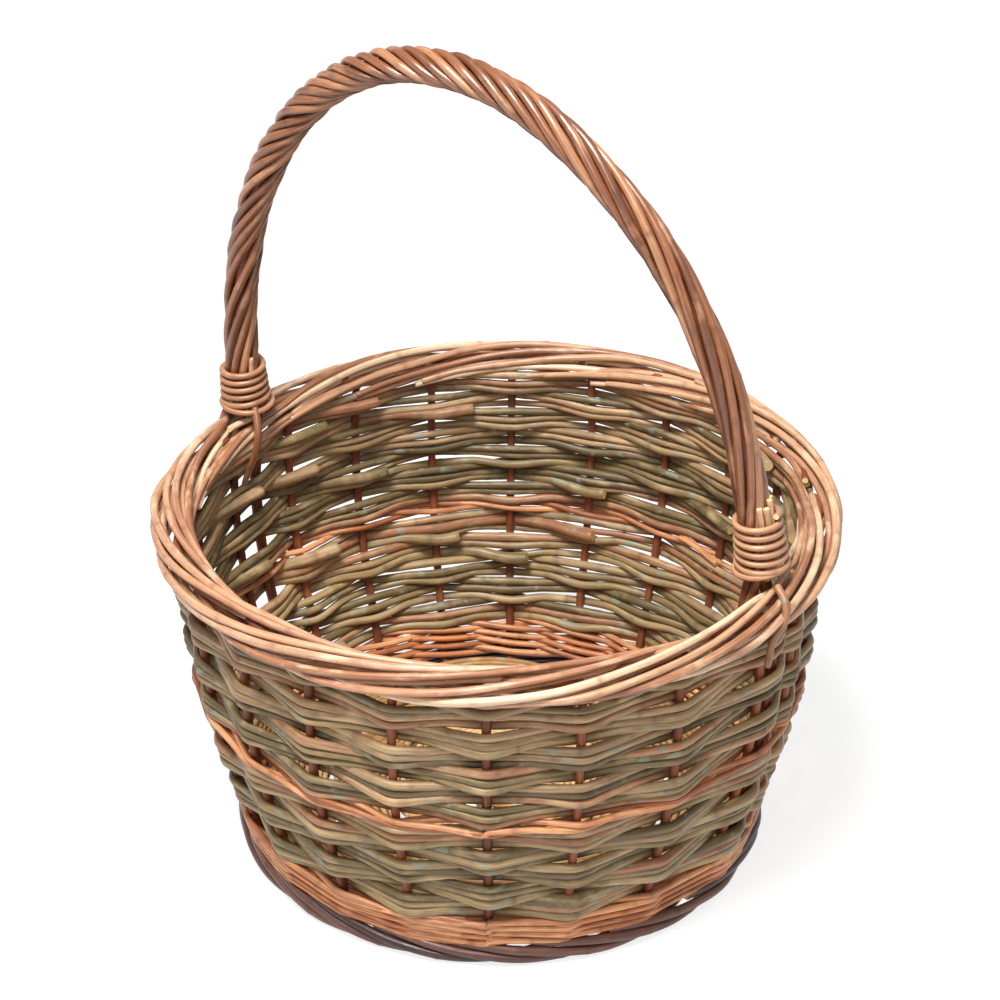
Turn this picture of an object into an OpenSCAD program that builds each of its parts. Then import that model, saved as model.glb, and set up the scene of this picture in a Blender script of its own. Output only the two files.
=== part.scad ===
// Round willow market basket with a fixed roped handle, made stake-and-strand.
// Origin: centre of the footprint on the resting plane. +Z up, the handle spans X.

/* [Wall] */
// Radius of the circle of stakes where they leave the base
foot_stake_r = 144; // [143:0.5:145]
// Radius of the circle of stakes just under the border
rim_stake_r = 171.7; // [165:0.1:172]
// How far the wall bulges beyond a straight line from foot to rim
wall_belly = 9.5; // [7:0.5:10]
// How high the bulge sits: 1 puts it half way up the wall, more puts it higher
belly_height = 1.25; // [1:0.05:1.4]
// Number of side stakes, two to each arm of the base
stake_count = 22; // [22:22:22]
// Diameter of a side stake
stake_d = 5; // [4.4:0.1:5]
// Turn of the first stake about the basket's axis, in degrees
first_stake_angle = -58.9; // [-60:0.1:-58]
// How far the handle foot draws its neighbouring stake along the rim, in degrees
stake_pull = 6; // [4:0.5:6]

/* [Weave] */
// Height from one course of slewing to the next, below the middle wale
lower_pitch = 13.6; // [13.5:0.1:13.6]
// Height from one course of slewing to the next, above the middle wale
upper_pitch = 12; // [11.9:0.1:12]
// Radial thickness of a woven band
band_t = 3.6; // [3:0.1:3.8]
// Number of slewing courses below the middle wale
lower_courses = 5; // [5:1:5]
// Number of slewing courses above the middle wale
upper_courses = 7; // [7:1:7]
// Height of the middle wale
mid_wale_h = 6.8; // [6:0.1:6.8]
// Number of rounds of waling above the foot
upsett_rounds = 4; // [4:1:4]
// Height of one round of the upsett waling
upsett_h = 4.9; // [4.5:0.1:4.9]

/* [Foot and base] */
// Outer radius of the foot
foot_r = 153; // [152:0.5:154]
// Height of the base's edge above the resting plane
base_edge_z = 10.2; // [10.2:0.1:11]
// How much the middle of the base rises above its edge
base_crown = 7; // [4:0.5:8]
// Diameter of a base stick
stick_d = 6; // [5:0.1:6]
// Thickness of the base weave
base_weave_h = 12; // [11:0.5:12]

/* [Border] */
// Height of the top of the border
body_h = 209.5; // [209:0.5:212]
// Outer radius of the border
rim_r = 191.5; // [191:0.5:192]

/* [Handle] */
// Half of the handle's span at the rim, measured to the middle of the bow
handle_half_span = 171; // [170:0.5:172]
// Shift of both handle feet along the span
handle_shift_x = -5; // [-5:0.1:-4]
// Height of the middle of the bow above the border
handle_rise = 250; // [230:1:270]
// Exponent of the handle's curve, where 2 is an ellipse
handle_fullness = 2.05; // [1.95:0.01:2.15]
// Sideways lean of the handle along its span, per unit of height
handle_lean_x = -0.07; // [-0.1:0.001:0.1]
// Lean of the handle across its span, per unit of height
handle_lean_y = -0.051; // [-0.1:0.001:0.1]
// Diameter of the bow inside the rope
bow_d = 9.6; // [9:0.1:9.6]
// Number of rods twisted round the bow
strand_count = 8; // [8:1:8]
// Diameter of a rope rod
strand_d = 4.8; // [4.4:0.1:4.8]
// Number of times the rope goes round the bow
rope_turns = 4.6; // [3.5:0.1:5]
// Diameter of a collar's wrapping rod
wrap_d = 3.6; // [3:0.1:3.6]
// Number of turns in a collar
wrap_turns = 6; // [5:1:6]
// How much wider a collar is at its bottom than at its top, on the radius
collar_flare = 1.8; // [0:0.1:1.8]

/* [Hidden] */

gap = 0.2;
step = 360 / stake_count;
stake_foot_z = base_edge_z;
stake_top_z = 193;
upsett_z = 13.3;
slew_z = upsett_z + upsett_rounds * (upsett_h + gap) + gap;
mid_wale_z = slew_z + lower_courses * lower_pitch;
upper_slew_z = mid_wale_z + mid_wale_h + gap;

// The stake beside each handle leg, and the widest leg that the weave passes round
right_foot_stake = 3;
left_foot_stake = 15;
leg_d = 7.5;
leg_tip_d = 5;
leg_tip_z = 22;

olive = [0.50, 0.43, 0.27];
tan_rod = [0.62, 0.52, 0.36];
buff = [0.78, 0.53, 0.32];
orange_brown = [0.66, 0.38, 0.20];
dark_red = [0.42, 0.22, 0.14];
purple_brown = [0.36, 0.23, 0.20];
pale_end = [0.86, 0.72, 0.46];

// ---------- the stakes that everything is woven round ----------

function wall_rise(z) = (z - stake_foot_z) / (stake_top_z - stake_foot_z);
function stake_r(z) = foot_stake_r + (rim_stake_r - foot_stake_r) * wall_rise(z)
    + wall_belly * sin(180 * pow(max(0, wall_rise(z)), belly_height));
function wall_lean(z) = abs(stake_r(z + 0.5) - stake_r(z - 0.5));
function even_angle(k) = first_stake_angle + k * step;
function pull_at(a) = stake_pull * exp(-pow((a - even_angle(right_foot_stake)) / step, 2));
function stake_angle(k) = even_angle(k) + pull_at(even_angle(k));
function polar(r, a, z) = [r * cos(a), r * sin(a), z];

// A post is what a band passes round: a stake, or a stake with a handle leg beside it.
function leg_margin(r) = asin((leg_d / 2 + gap) / r);
function stake_margin(r) = asin((stake_d / 2 + gap) / r);
function post_start(k, r) = k == left_foot_stake ? 180 - leg_margin(r)
    : stake_angle(k) - stake_margin(r);
function post_end(k, r) = k == right_foot_stake ? leg_margin(r)
    : stake_angle(k) + stake_margin(r);
function post_half(k) =
    (k == right_foot_stake || k == left_foot_stake ? leg_d : stake_d) / 2;

// ---------- woven bands ----------

// Patterns: 1 where the band passes outside the stake, -1 where it passes inside.
function slew_side(k, course) = (k + course) % 2 == 0 ? 1 : -1;
function wale_side(k, shift) = (k + shift) % 3 == 0 && k < stake_count - 1 ? -1 : 1;

crossing_steps = 4;

// The middle line of a band: flat past each post, a half cosine wave between posts
function band_line(sides, r, lean_room) = [
    for (k = [0 : stake_count - 1])
        let (next = (k + 1) % stake_count,
             reach = band_t / 2 + lean_room + gap,
             here = sides[k] * (post_half(k) + reach),
             there = sides[next] * (post_half(next) + reach),
             a0 = post_end(k, r),
             a1 = post_start(next, r) + (next == 0 ? 360 : 0))
            each concat(
                [[post_start(k, r), here]],
                [for (i = [0 : crossing_steps - 1])
                    let (f = (1 - cos(180 * i / crossing_steps)) / 2)
                        [a0 + (a1 - a0) * i / crossing_steps, here + (there - here) * f]])];

module woven_band(z, h, sides) {
    r = stake_r(z + h / 2);
    line = band_line(sides, r, wall_lean(z + h / 2) * h / 2);
    outer = [for (p = line) (r + p[1] + band_t / 2) * [cos(p[0]), sin(p[0])]];
    inner = [for (p = line) (r + p[1] - band_t / 2) * [cos(p[0]), sin(p[0])]];
    translate([0, 0, z]) linear_extrude(h) difference() {
        polygon(outer);
        polygon(inner);
    }
}

module slew_course(z, h, course) {
    woven_band(z, h, [for (k = [0 : stake_count - 1]) slew_side(k, course)]);
}

module wale_round(z, h, shift) {
    woven_band(z, h, [for (k = [0 : stake_count - 1]) wale_side(k, shift)]);
}

module slew_lower(i) {
    color(i % 2 == 0 ? olive : tan_rod)
        slew_course(slew_z + (i - 1) * lower_pitch, lower_pitch - gap, i);
}

module slew_upper(i) {
    color(i % 2 == 0 ? tan_rod : olive)
        slew_course(upper_slew_z + (i - 1) * upper_pitch, upper_pitch - gap, i + lower_courses);
}

module mid_wale() {
    color(orange_brown) wale_round(mid_wale_z, mid_wale_h, 1);
}

module upsett_wale(i) {
    color(orange_brown) wale_round(upsett_z + (i - 1) * (upsett_h + gap), upsett_h, i);
}

// ---------- rods ----------

// A straight round rod between two points
module rod(from, to, d) {
    v = to - from;
    length = norm(v);
    translate(from)
        rotate([0, acos(v[2] / length), atan2(v[1], v[0])])
            cylinder(d = d, h = length, $fn = 32);
}

// ---------- base ----------

arm_end_r = 137;
slath_turn = even_angle(right_foot_stake + 1);
slath_half = 24;
upper_spacing = 7;
lower_spacing = 10.4;
split_d = 10;
tie_r = 29;
tie_d = 4;
stake_toe_r = 105;
stake_toe_d = 4;
weave_edge_r = 134.5;

function base_z(r) = base_edge_z + base_crown * (1 - r / arm_end_r);
function arm_angle(j) = even_angle(right_foot_stake + 2 * j + 0.5);
function arm_end(j) = polar(arm_end_r, arm_angle(j), base_edge_z);
function slath_point(along, across, turn) =
    let (a = slath_turn + turn)
        [along * cos(a) - across * sin(a), along * sin(a) + across * cos(a), base_z(slath_half)];

// Arms are counted round the base. Three upper sticks end in arms -1 to 1 and 5 to 7, two lower
// sticks in arms 2, 4, 8 and 9, and the half stick in arm 3.
opposite_arm = 6;
half_stick_arm = 3;
function far_lower_arm(i) = i < 0 ? 9 : 8;

// One arm, from the edge of the slath out to the base's edge
module base_arm(from, j, d) {
    rod(from, arm_end(j), d);
}

module bent_stick(points, sizes) {
    swept_rod(points, [for (p = points) [0, 0, 1]], sizes, 12);
}

// A whole base stick: an arm, the straight middle through the slath, and the opposite arm
module upper_stick(i) {
    across = i * upper_spacing;
    bent_stick(
        [arm_end(i), slath_point(slath_half, across, 0), slath_point(-slath_half, across, 0),
         arm_end(opposite_arm - i)],
        [for (n = [1 : 4]) stick_d]);
}

// A split stick is fat in the middle, where the upper sticks pass through its slit.
module slit() {
    translate([0, 0, base_z(slath_half)]) rotate([0, 0, slath_turn])
        cube([2 * slath_half - 8, 2 * upper_spacing + stick_d + 2 * gap, stick_d + 2 * gap],
             center = true);
}

module lower_stick(i) {
    across = i * lower_spacing;
    fat_half = slath_half - 8;
    arm = [arm_end(half_stick_arm + i), slath_point(slath_half, across, 90)];
    middle = [slath_point(fat_half, across, 90), slath_point(-fat_half, across, 90)];
    other_arm = [slath_point(-slath_half, across, 90), arm_end(far_lower_arm(i))];
    difference() {
        if (i == 0)
            bent_stick(concat(arm, middle, [slath_point(2 - slath_half, across, 90)]),
                       [stick_d, stick_d, split_d, split_d, stick_d]);
        else
            bent_stick(concat(arm, middle, other_arm),
                       [stick_d, stick_d, split_d, split_d, stick_d, stick_d]);
        slit();
    }
}

module base_sticks_upper() {
    color(tan_rod) for (i = [-1 : 1]) upper_stick(i);
}

module base_sticks_lower() {
    color(tan_rod) for (i = [-1, 1]) lower_stick(i);
}

module base_half_stick() {
    color(tan_rod) lower_stick(0);
}

module base_tie() {
    z = base_z(tie_r);
    lift = stick_d / 2 + tie_d / 2 + gap;
    color(olive) {
        for (side = [-1, 1])
            translate([0, 0, z + side * lift]) rotate_extrude($fn = 96)
                translate([tie_r, 0]) circle(d = tie_d, $fn = 24);
        for (i = [0 : 3])
            translate(polar(tie_r, slath_turn + 45 + 90 * i, z - lift))
                cylinder(d = tie_d - 1, h = 2 * lift, $fn = 24);
    }
}

// The channels that the arms run through in the base weave
module arm_channels() {
    for (i = [-1 : 1]) {
        base_arm(slath_point(slath_half, i * upper_spacing, 0), i, stick_d + 2 * gap);
        base_arm(slath_point(-slath_half, i * upper_spacing, 0), opposite_arm - i,
                 stick_d + 2 * gap);
        base_arm(slath_point(slath_half, i * lower_spacing, 90), half_stick_arm + i,
                 stick_d + 2 * gap);
    }
    for (i = [-1, 1])
        base_arm(slath_point(-slath_half, i * lower_spacing, 90), far_lower_arm(i),
                 stick_d + 2 * gap);
}

module base_ring(r0, r1) {
    h = base_weave_h / 2;
    rotate_extrude($fn = 120) polygon([
        [r0, base_z(r0) - h + 1], [r0 + 1, base_z(r0 + 1) - h], [r1 - 1, base_z(r1 - 1) - h],
        [r1, base_z(r1) - h + 1], [r1, base_z(r1) + h - 1], [r1 - 1, base_z(r1 - 1) + h],
        [r0 + 1, base_z(r0 + 1) + h], [r0, base_z(r0) + h - 1]]);
}

module base_weave_inner() {
    color(olive) difference() {
        base_ring(34, 65);
        arm_channels();
    }
}

module base_weave_middle() {
    color(tan_rod) difference() {
        base_ring(65.3, 99);
        arm_channels();
    }
}

module base_weave_outer() {
    color(olive) difference() {
        base_ring(99.3, weave_edge_r);
        arm_channels();
        for (k = [0 : stake_count - 1]) stake_toe(k, stake_toe_d + 2 * gap);
    }
}

// ---------- stakes and foot ----------

// A stake's pointed toe lies beside an arm of the base, then the stake bends up and follows the wall.
bend_reach = 4;
stake_spans = 9;

// The arm that a stake's toe lies beside, and the side of it, -1 or 1
function toe_arm(k) = floor((k - right_foot_stake) / 2);
function toe_side(k) = (k - right_foot_stake) % 2 == 0 ? -1 : 1;
function toe_end(k) =
    let (offset = asin((stick_d / 2 + stake_toe_d / 2 + 2 * gap) / stake_toe_r))
        polar(stake_toe_r, arm_angle(toe_arm(k)) + toe_side(k) * offset, base_z(stake_toe_r));
function stake_elbow(k) = polar(foot_stake_r, stake_angle(k), stake_foot_z);

module stake_toe(k, d) {
    rod(toe_end(k), stake_elbow(k), d);
}

module side_stake(k) {
    elbow = stake_elbow(k);
    toe = toe_end(k);
    before_bend = elbow + bend_reach * unit(toe - elbow);
    after_bend_z = stake_foot_z + bend_reach;
    rise = (stake_top_z - after_bend_z) / stake_spans;
    upright = [for (i = [0 : stake_spans])
        let (z = after_bend_z + i * rise) polar(stake_r(z), stake_angle(k), z)];
    in_bend = polar(foot_stake_r - 1, stake_angle(k), stake_foot_z + 1);
    points = concat([toe, before_bend, in_bend], upright);
    across = polar(1, stake_angle(k) + 90, 0);
    sizes = concat([stake_toe_d, stake_toe_d], [for (i = [0 : stake_spans + 1]) stake_d]);
    swept_rod(points, [for (p = points) across], sizes, 10);
}

module side_stakes() {
    color(dark_red) for (k = [0 : stake_count - 1]) side_stake(k);
}

foot_ledge_r = 135;
foot_ledge_z = 7;
foot_lip_z = 13;
bend_gap = 1.5;

// The foot rises outside the stakes' elbows, and its flat underside is the resting face.
module foot_wale() {
    lip_r = foot_stake_r + stake_d / 2 + bend_gap;
    color(purple_brown) rotate_extrude($fn = 180) polygon([
        [foot_ledge_r + 2, 0], [foot_r - 3, 0], [foot_r, 3], [foot_r, foot_lip_z - 2],
        [foot_r - 2, foot_lip_z], [lip_r, foot_lip_z], [lip_r, foot_ledge_z],
        [foot_ledge_r, foot_ledge_z], [foot_ledge_r, 2]]);
}

// ---------- border ----------

// The room that the border leaves for the bow, where it goes down into the wall
border_clear_r = 7;
border_clear_h = 40;
// Each ring of the border: distance in from the rim, distance under the top, and diameter
outer_ring = [4.7, 11, 9.4];
top_ring = [11.5, 4.3, 8.6];
inner_ring = [20.3, 4.6, 8.2];
lower_ring = [16, 12.4, 7];

module border_rod(ring) {
    r = rim_r - ring[0];
    z = body_h - ring[1];
    d = ring[2];
    difference() {
        translate([0, 0, z]) rotate_extrude($fn = 180) translate([r, 0]) circle(d = d, $fn = 32);
        for (x = [for (side = [-1, 1]) each [
                handle_shift_x + side * handle_half_span, side * rim_stake_r]])
            translate([x, 0, stake_top_z - 2])
                cylinder(r = border_clear_r, h = border_clear_h, $fn = 48);
    }
}

module border_outer() {
    color(buff) border_rod(outer_ring);
}

module border_top() {
    color(buff) border_rod(top_ring);
}

module border_inner() {
    color(buff) border_rod(inner_ring);
}

module border_lower() {
    color(orange_brown) border_rod(lower_ring);
}

// ---------- handle ----------

function signed_pow(v, e) = sign(v) * pow(abs(v), e);

// Middle line of the bow: a is 0 at the left foot, 90 at the top and 180 at the right foot
function bow_point(a) =
    let (e = 2 / handle_fullness,
         rise = handle_rise * pow(abs(sin(a)), e))
        [handle_shift_x - handle_half_span * signed_pow(cos(a), e) + handle_lean_x * rise,
         handle_lean_y * rise, body_h + rise];
function unit(v) = v / norm(v);
function bow_tangent(a) = unit(bow_point(a + 0.5) - bow_point(a - 0.5));
function bow_outward(a) = unit(cross([0, 1, 0], bow_tangent(a)) * -1);
function bow_side(a) = cross(bow_tangent(a), bow_outward(a));

// A tube swept along points; guides are directions roughly across the tube at each point.
module swept_rod(points, guides, diameters, sides) {
    last = len(points) - 1;
    tangents = [for (i = [0 : last])
        unit(points[min(i + 1, last)] - points[max(i - 1, 0)])];
    across = [for (i = [0 : last])
        unit(guides[i] - (guides[i] * tangents[i]) * tangents[i])];
    rings = [for (i = [0 : last])
        let (up = cross(tangents[i], across[i]))
            for (s = [0 : sides - 1])
                points[i] + diameters[i] / 2
                    * (across[i] * cos(360 * s / sides) + up * sin(360 * s / sides))];
    walls = [for (i = [0 : last - 1], s = [0 : sides - 1])
        let (a = i * sides + s, b = i * sides + (s + 1) % sides)
            each [[a, b + sides, b], [a, a + sides, b + sides]]];
    polyhedron(
        points = rings,
        faces = concat(
            [[for (s = [0 : sides - 1]) s]],
            walls,
            [[for (s = [sides - 1 : -1 : 0]) last * sides + s]]));
}

leg_spans = 16;
leg_heights = [for (i = [0 : leg_spans])
    leg_tip_z + (stake_top_z - leg_tip_z) * i / leg_spans];
bow_steps = 48;

function leg_diameter(z) =
    leg_tip_d + (leg_d - leg_tip_d) * (z - leg_tip_z) / (stake_top_z - leg_tip_z);

module handle_bow() {
    left_leg = [for (z = leg_heights) [-stake_r(z), 0, z]];
    right_leg = [for (i = [len(leg_heights) - 1 : -1 : 0])
        [stake_r(leg_heights[i]), 0, leg_heights[i]]];
    arch = [for (i = [0 : bow_steps]) bow_point(180 * i / bow_steps)];
    leg_sizes = [for (z = leg_heights) leg_diameter(z)];
    points = concat(left_leg, arch, right_leg);
    sizes = concat(leg_sizes, [for (p = arch) bow_d],
                   [for (i = [len(leg_sizes) - 1 : -1 : 0]) leg_sizes[i]]);
    color(dark_red) swept_rod(points, [for (p = points) [0, 1, 0]], sizes, 10);
}

// The rope's turn round the bow: steep over the top, slack at the feet and most at the right
rope_slack = 0.3;
rope_skew = 0.4;
function rope_angle(a) =
    let (swell = (rope_skew * (1 - cos(2 * a)) - rope_slack * sin(2 * a)) / (2 * PI))
        360 * rope_turns * (a / 180 + swell);
function spiral_point(a, r, turn) =
    bow_point(a) + r * (bow_outward(a) * cos(turn) + bow_side(a) * sin(turn));

rope_r = 7.4;
rope_start = 1;
rope_steps = 70;

module handle_strand(i) {
    angles = [for (s = [0 : rope_steps])
        rope_start + (180 - 2 * rope_start) * s / rope_steps];
    turn0 = 360 * i / strand_count;
    points = [for (a = angles) spiral_point(a, rope_r, turn0 + rope_angle(a))];
    guides = [for (s = [0 : rope_steps]) points[s] - bow_point(angles[s])];
    color(orange_brown) swept_rod(points, guides, [for (p = points) strand_d], 6);
}

// Collars: a rod wound round the rope, just above the border, wider towards the border
collar_r = rope_r + strand_d / 2 + gap + wrap_d / 2;
collar_start = 1.4;
collar_span = 6.6;
wrap_steps = 12;

module collar(start, span) {
    count = wrap_turns * wrap_steps;
    angles = [for (s = [0 : count]) start + span * s / count];
    points = [for (s = [0 : count])
        spiral_point(angles[s], collar_r + collar_flare * pow(1 - s / count, 2),
                     360 * wrap_turns * s / count)];
    guides = [for (s = [0 : count]) points[s] - bow_point(angles[s])];
    color(buff) swept_rod(points, guides, [for (p = points) wrap_d], 6);
}

module collar_left() {
    collar(collar_start, collar_span);
}

module collar_right() {
    collar(180 - collar_start, -collar_span);
}

// Pegs that stand up beside the rope above each collar: four on the right, one on the left
peg_d = 3.2;
peg_h = 9;
peg_gap_a = 0.8;
right_peg_turns = [-30, -5, 20, 45];
left_peg_turn = 160;

module cut_end(a, turn) {
    foot = spiral_point(a, collar_r, turn);
    rod(foot, foot + [0, 0, peg_h], peg_d);
}

module collar_cut_ends() {
    top = collar_start + collar_span + peg_gap_a;
    color(pale_end) {
        for (turn = right_peg_turns) cut_end(180 - top, turn);
        cut_end(top, left_peg_turn);
    }
}

// ---------- the nodes ----------

base_sticks_lower();
base_sticks_upper();
base_half_stick();
base_tie();
base_weave_inner();
base_weave_middle();
base_weave_outer();
foot_wale();
side_stakes();
mid_wale();
for (i = [1 : upsett_rounds])
    upsett_wale(i);
for (i = [1 : lower_courses])
    slew_lower(i);
for (i = [1 : upper_courses])
    slew_upper(i);
border_outer();
border_top();
border_inner();
border_lower();
handle_bow();
for (i = [1 : strand_count])
    handle_strand(i);
collar_left();
collar_right();
collar_cut_ends();
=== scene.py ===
import math
import zlib

import bpy
import numpy as np
from mathutils import Matrix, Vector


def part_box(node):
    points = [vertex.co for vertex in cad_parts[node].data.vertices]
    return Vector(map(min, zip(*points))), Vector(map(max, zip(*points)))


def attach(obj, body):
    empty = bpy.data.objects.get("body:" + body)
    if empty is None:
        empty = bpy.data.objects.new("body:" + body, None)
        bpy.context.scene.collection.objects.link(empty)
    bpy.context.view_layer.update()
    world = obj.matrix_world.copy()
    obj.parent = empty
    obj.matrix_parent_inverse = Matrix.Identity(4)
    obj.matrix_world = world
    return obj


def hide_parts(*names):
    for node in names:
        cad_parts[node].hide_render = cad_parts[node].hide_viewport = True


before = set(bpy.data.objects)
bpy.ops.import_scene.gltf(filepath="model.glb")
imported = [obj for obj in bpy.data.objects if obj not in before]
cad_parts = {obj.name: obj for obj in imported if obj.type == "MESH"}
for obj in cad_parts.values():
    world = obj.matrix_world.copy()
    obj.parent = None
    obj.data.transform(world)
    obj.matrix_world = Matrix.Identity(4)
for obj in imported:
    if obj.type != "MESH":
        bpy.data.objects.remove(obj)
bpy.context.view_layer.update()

# All lengths below are millimetres in the part's own frame; meshes are scaled to metres.
METRE = 0.001
TAU = 2 * math.pi


def box_mm(node):
    low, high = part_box(node)
    return np.array(low) / METRE, np.array(high) / METRE


# ---------------------------------------------------------------- sizes, from the frame

RIM_R = box_mm("border_outer")[1][0]
BODY_TOP = box_mm("border_top")[1][2]
FOOT_R = box_mm("foot_wale")[1][0]
STAKE_COUNT = 22
STEP = 360 / STAKE_COUNT
STAKE_GAP = 49
STAKE_R = 2.5
STAKE_FOOT_R = FOOT_R - 9.0
STAKE_FOOT_Z = 10.2
STAKE_TOP_Z = 193.0
STAKE_TOP_R = RIM_R - 19.8
WALL_BELLY = 9.5
BELLY_HEIGHT = 1.25
FIRST_STAKE = -58.9
STAKE_PULL = 6.0
RIGHT_FOOT_STAKE = 3
LEFT_FOOT_STAKE = 15
LEG_HALF = 3.75

HANDLE_HALF_SPAN = 171.0
HANDLE_SHIFT_X = -5.0
HANDLE_RISE = 250.0
HANDLE_FULLNESS = 2.05
HANDLE_SHOULDER = 3.5
HANDLE_LEAN_X = -0.07
HANDLE_LEAN_Y = -0.051
ROPE_R = 7.4
STRAND_R = 2.4
STRAND_COUNT = 8
ROPE_TURNS = 4.6
WRAP_R = 1.8


def dice(name):
    """A random generator that belongs to one piece, so that pieces don't change each other."""
    return np.random.default_rng(zlib.crc32(name.encode()))


def stake_circle(z):
    rise = (np.asarray(z, float) - STAKE_FOOT_Z) / (STAKE_TOP_Z - STAKE_FOOT_Z)
    return STAKE_FOOT_R + (STAKE_TOP_R - STAKE_FOOT_R) * rise \
        + WALL_BELLY * np.sin(math.pi * np.clip(rise, 0, 1) ** BELLY_HEIGHT)


def stake_angle(k):
    """Angle of stake k in degrees. A handle leg draws the stake beside it along the rim."""
    even = FIRST_STAKE + k * STEP
    drawn = FIRST_STAKE + RIGHT_FOOT_STAKE * STEP
    return even + STAKE_PULL * math.exp(-(((even - drawn) / STEP) ** 2))


RIM_LIFT = 6.5
RIM_LIFT_ANGLE = 75
# (angle, size) of each place where the rim stands out, or in, and how wide they are in degrees
BULGES = ((-146, 5.0), (36, -0.8))
BULGE_WIDTH = 26.0


def by_hand(points):
    """The wall isn't quite even: the rim stands a little higher at the back and on the right,
    and bulges a little to the left."""
    x, y, z = points.T
    turn = np.degrees(np.arctan2(y, x))
    up = np.clip(z / BODY_TOP, 0, 1) ** 2
    lift = RIM_LIFT * up * (0.5 + 0.5 * np.cos(np.radians(turn - RIM_LIFT_ANGLE)))
    bulge = sum(size * np.exp(-(((turn - at + 180) % 360 - 180) / BULGE_WIDTH) ** 2)
                for at, size in BULGES)
    grow = 1 + up * bulge / np.maximum(np.hypot(x, y), 60.0)
    return np.stack([x * grow, y * grow, z + lift], -1)


def polar(r, degrees, z):
    a = np.radians(degrees)
    return np.stack(np.broadcast_arrays(r * np.cos(a), r * np.sin(a), z), -1).astype(float)


# ---------------------------------------------------------------- round rods

def unit(v):
    return v / np.maximum(np.linalg.norm(v, axis=-1, keepdims=True), 1e-9)


def wobble(rng, length, count, wavelength, size):
    """Smooth random offsets at count points along a length."""
    knots = max(4, int(length / wavelength) + 3)
    values = rng.normal(0, size, knots)
    at = np.linspace(1, knots - 2, count)
    i = at.astype(int)
    f = (at - i)[:, None]
    a, b, c, d = (values[np.clip(i + s, 0, knots - 1)][:, None] for s in (-1, 0, 1, 2))
    cubic = b + 0.5 * f * (c - a + f * (2 * a - 5 * b + 4 * c - d + f * (3 * (b - c) + d - a)))
    return cubic[:, 0]


def resample(points, spacing):
    """The same line with its points a given distance apart."""
    points = np.asarray(points, float)
    steps = np.linalg.norm(np.diff(points, axis=0), axis=1)
    along = np.concatenate([[0], np.cumsum(steps)])
    count = max(4, int(along[-1] / spacing) + 1)
    at = np.linspace(0, along[-1], count)
    return np.stack([np.interp(at, along, points[:, i]) for i in range(3)], -1)


def spline(points, per_span=14):
    """A smooth line through a few points."""
    p = np.asarray(points, float)
    p = np.concatenate([[2 * p[0] - p[1]], p, [2 * p[-1] - p[-2]]])
    out = []
    for a, b, c, d in zip(p, p[1:], p[2:], p[3:]):
        f = np.linspace(0, 1, per_span, endpoint=False)[:, None]
        out.append(b + 0.5 * f * (c - a + f * (2 * a - 5 * b + 4 * c - d
                                               + f * (3 * (b - c) + d - a))))
    return np.concatenate(out + [p[-2:-1]])


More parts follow.
